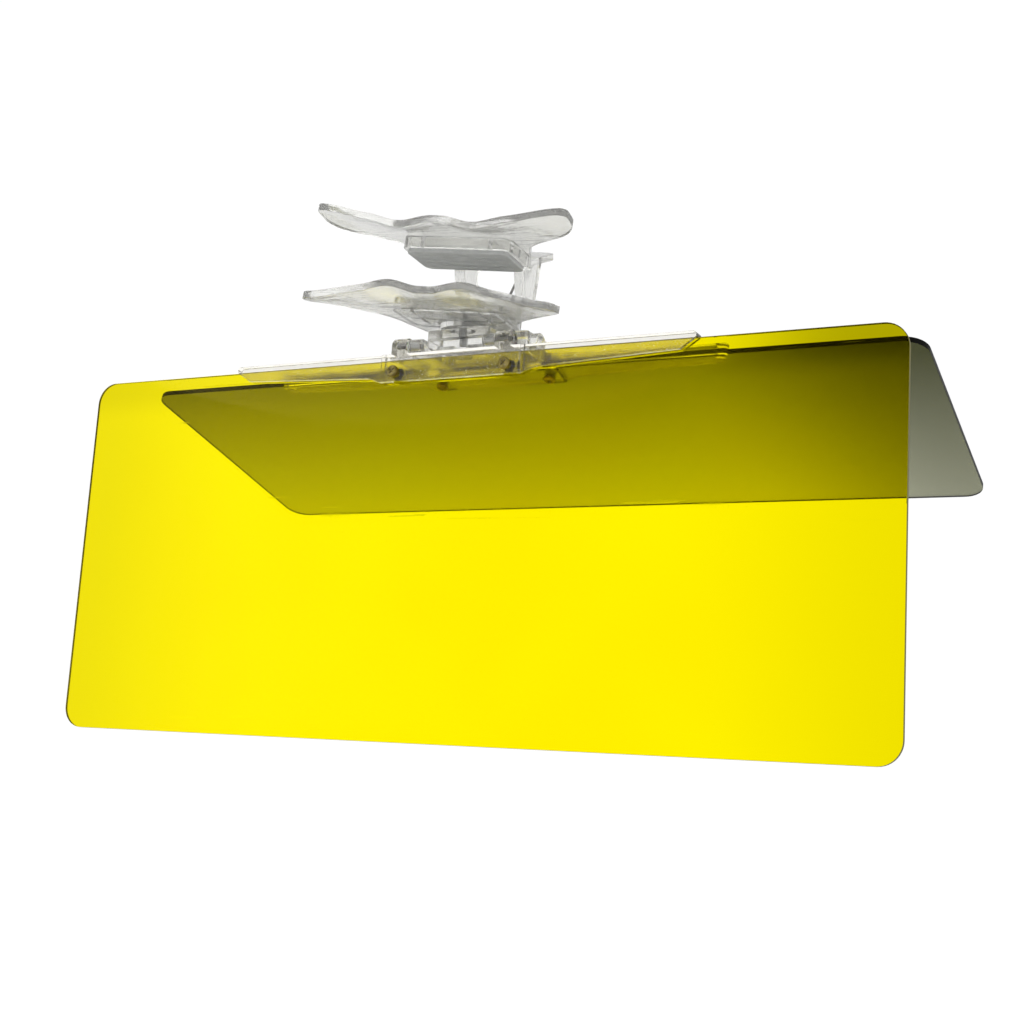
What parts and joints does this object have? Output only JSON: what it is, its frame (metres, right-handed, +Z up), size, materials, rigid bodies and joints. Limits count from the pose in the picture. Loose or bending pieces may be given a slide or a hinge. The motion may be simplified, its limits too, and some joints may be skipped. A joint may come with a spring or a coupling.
{
  "type": "clip-on car sun visor",
  "caption": "Clip-on day and night sun visor for a car: a sprung clear clip, a swivel yoke, and a yellow and a smoke panel that fold on their own rails.",
  "frame": {"origin": "middle of the lower jaw's grip face", "axes": "+X along the panels' width, -Y towards the driver, +Y towards the windscreen, +Z up; the clip is canted 5.9 degrees about Y, so the grip faces' normal leans towards +X"},
  "size_m": [0.32, 0.1709, 0.1915],
  "materials": {
    "clear_plastic": "polished clear polycarbonate",
    "yellow_panel": "polished tinted acrylic",
    "smoke_panel": "polished tinted acrylic",
    "soft_pad": "matt translucent silicone",
    "nylon": "natural nylon",
    "steel": "plain steel",
    "spring_steel": "bright drawn wire"
  },
  "bodies": {
    "clip": {"lower_jaw": "clear_plastic", "lower_grip_pad": "soft_pad", "jaw_hinge_pin": "steel", "jaw_pin_clips": "spring_steel", "jaw_torsion_spring": "spring_steel"},
    "upper_jaw": {"upper_jaw": "clear_plastic", "upper_grip_pad": "soft_pad"},
    "yoke": {"hinge_yoke": "clear_plastic", "swivel_screw": "steel", "swivel_washer": "steel", "swivel_wave_washer": "spring_steel"},
    "front_panel": {"front_rail": "clear_plastic", "front_hinge_pin_left": "steel", "front_hinge_pin_right": "steel", "front_friction_washers": "nylon", "front_rail_screws": "steel", "front_rail_nuts": "steel", "night_panel": "yellow_panel"},
    "rear_panel": {"rear_rail": "clear_plastic", "rear_hinge_pin_left": "steel", "rear_hinge_pin_right": "steel", "rear_friction_washers": "nylon", "rear_rail_screws": "steel", "rear_rail_nuts": "steel", "day_panel": "smoke_panel"}
  },
  "joints": [
    {"name": "jaw_open", "type": "hinge", "parent": "clip", "child": "upper_jaw", "pos_m": [-0.00226, 0.03093, 0.00696], "axis": [-0.9901, -0.0953, 0.1028], "range_deg": [0, 20], "stiffness_Nm_per_rad": 0.6, "springref_deg": -34.38, "deforming": ["jaw_torsion_spring"]},
    {"name": "swivel", "type": "hinge", "parent": "clip", "child": "yoke", "pos_m": [-0.00086, 0.00896, -0.009], "axis": [0, 0, 1], "continuous": true},
    {"name": "front_panel_fold", "type": "hinge", "parent": "yoke", "child": "front_panel", "pos_m": [-0.00086, -0.00004, -0.016], "axis": [-1, 0, 0], "range_deg": [-4, 85]},
    {"name": "rear_panel_fold", "type": "hinge", "parent": "yoke", "child": "rear_panel", "pos_m": [-0.00086, 0.02496, -0.016], "axis": [1, 0, 0], "range_deg": [-74, 11]}
  ]
}
